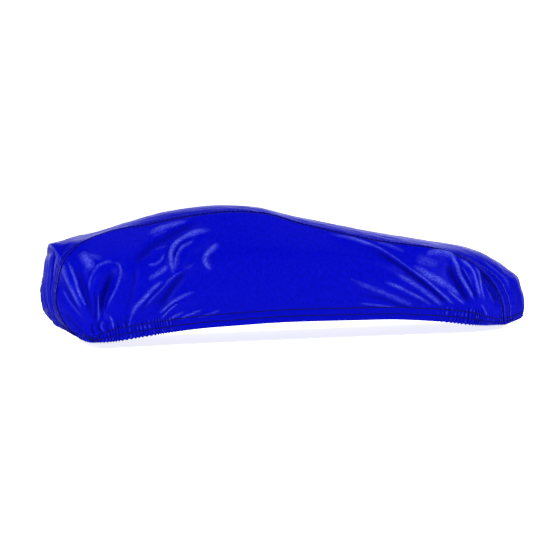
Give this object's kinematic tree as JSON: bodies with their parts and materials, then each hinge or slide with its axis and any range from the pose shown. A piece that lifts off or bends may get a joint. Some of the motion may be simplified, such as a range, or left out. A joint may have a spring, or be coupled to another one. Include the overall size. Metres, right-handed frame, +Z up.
{
  "type": "fitted car cover",
  "caption": "Fitted stretch cover for a low car, with two long seams and a gathered elastic hem, shaped as it hangs and open at the bottom.",
  "frame": {"origin": "underside of the crown, where a support holds the cover up", "axes": "+X towards the nose, +Y towards the left side, +Z up"},
  "size_m": [4.2661, 1.8775, 1.1251],
  "materials": {
    "blue_cloth": "satin",
    "seam_cloth": "satin",
    "thread": "matte"
  },
  "bodies": {
    "root": {"top_panel": "blue_cloth", "side_panel_right": "blue_cloth", "side_panel_left": "blue_cloth", "seam_band_right": "seam_cloth", "seam_band_left": "seam_cloth"}
  },
  "joints": []
}
